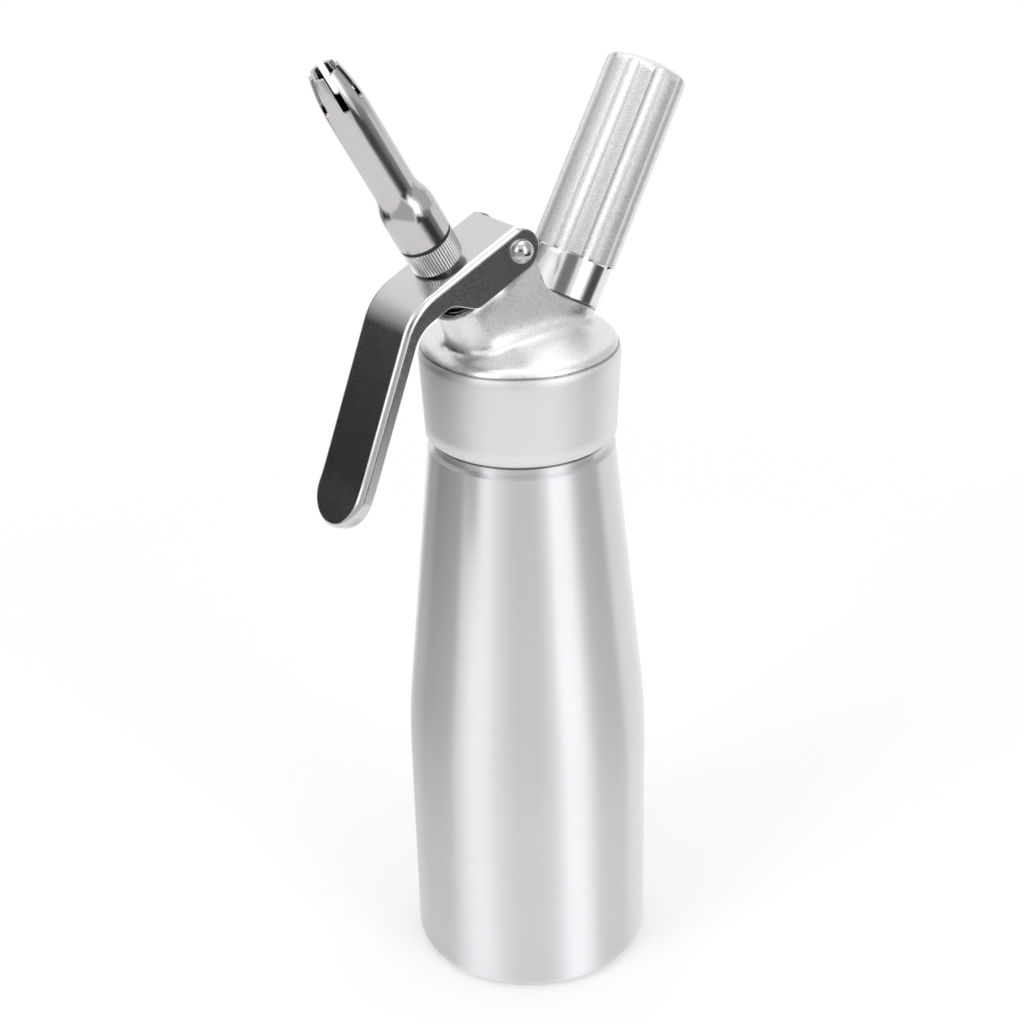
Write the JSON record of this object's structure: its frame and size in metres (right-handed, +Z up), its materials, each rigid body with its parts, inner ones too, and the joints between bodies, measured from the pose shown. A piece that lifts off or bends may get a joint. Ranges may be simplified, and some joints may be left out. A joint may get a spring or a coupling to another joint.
{
  "type": "cream whipper",
  "caption": "Aluminium cream whipper: brushed pressure bottle, screw-on cast head with a bent steel lever, slanted decorator tip on a push valve, and a fluted gas charger holder.",
  "frame": {"origin": "centre of the bottle's flat base, on the bottle's axis", "axes": "+Z up the bottle's axis, +X towards the charger holder's side, the lever and tip lie towards -X; the XZ plane is the plane of symmetry"},
  "size_m": [0.1386, 0.08, 0.3212],
  "materials": {
    "bottle_aluminium": "circumferentially brushed aluminium",
    "cast_aluminium": "bead-blasted casting with a satin-turned skirt",
    "holder_aluminium": "bead-blasted grip with a bright-turned collar",
    "lever_steel": "pressed stainless sheet, lightly brushed",
    "polished_steel": "polished stainless steel",
    "valve_steel": "turned stainless steel",
    "brass": "turned brass",
    "black_rubber": "matt black food-grade rubber",
    "silicone": "red silicone"
  },
  "bodies": {
    "bottle": {"bottle": "bottle_aluminium"},
    "head": {"head": "cast_aluminium", "head_gasket": "silicone", "valve_bush": "brass", "valve_spring": "valve_steel", "piercing_body": "brass", "piercing_pin": "valve_steel", "charger_seal": "black_rubber", "check_sleeve": "black_rubber"},
    "lever": {"lever": "lever_steel", "lever_pin": "polished_steel"},
    "valve": {"valve_stem": "valve_steel", "stem_o_ring": "black_rubber", "valve_seal": "black_rubber", "valve_cap": "valve_steel", "spring_cup": "polished_steel", "nozzle_holder": "polished_steel", "tip_seal": "black_rubber"},
    "tip": {"decorator_tip": "polished_steel"},
    "holder": {"charger_holder": "holder_aluminium"}
  },
  "joints": [
    {"name": "head_lift", "type": "slide", "parent": "bottle", "child": "head", "axis": [0, 0, 1], "range_m": [0, 0.05]},
    {"name": "lever_press", "type": "hinge", "parent": "head", "child": "lever", "pos_m": [-0.0073, 0, 0.2564], "axis": [0, -1, 0], "range_deg": [0, 9]},
    {"name": "valve_push", "type": "slide", "parent": "head", "child": "valve", "axis": [0.5, 0, -0.866], "range_m": [0, 0.0023], "stiffness_N_per_m": 500, "springref_m": -0.003, "deforming": ["valve_spring"]},
    {"name": "tip_lift", "type": "slide", "parent": "valve", "child": "tip", "axis": [-0.5, 0, 0.866], "range_m": [0, 0.03]},
    {"name": "holder_lift", "type": "slide", "parent": "head", "child": "holder", "axis": [0.5, 0, 0.866], "range_m": [0, 0.08]}
  ],
  "couplings": [
    {"joint": "valve_push", "follows": "lever_press", "m_per_rad": 0.01464}
  ]
}
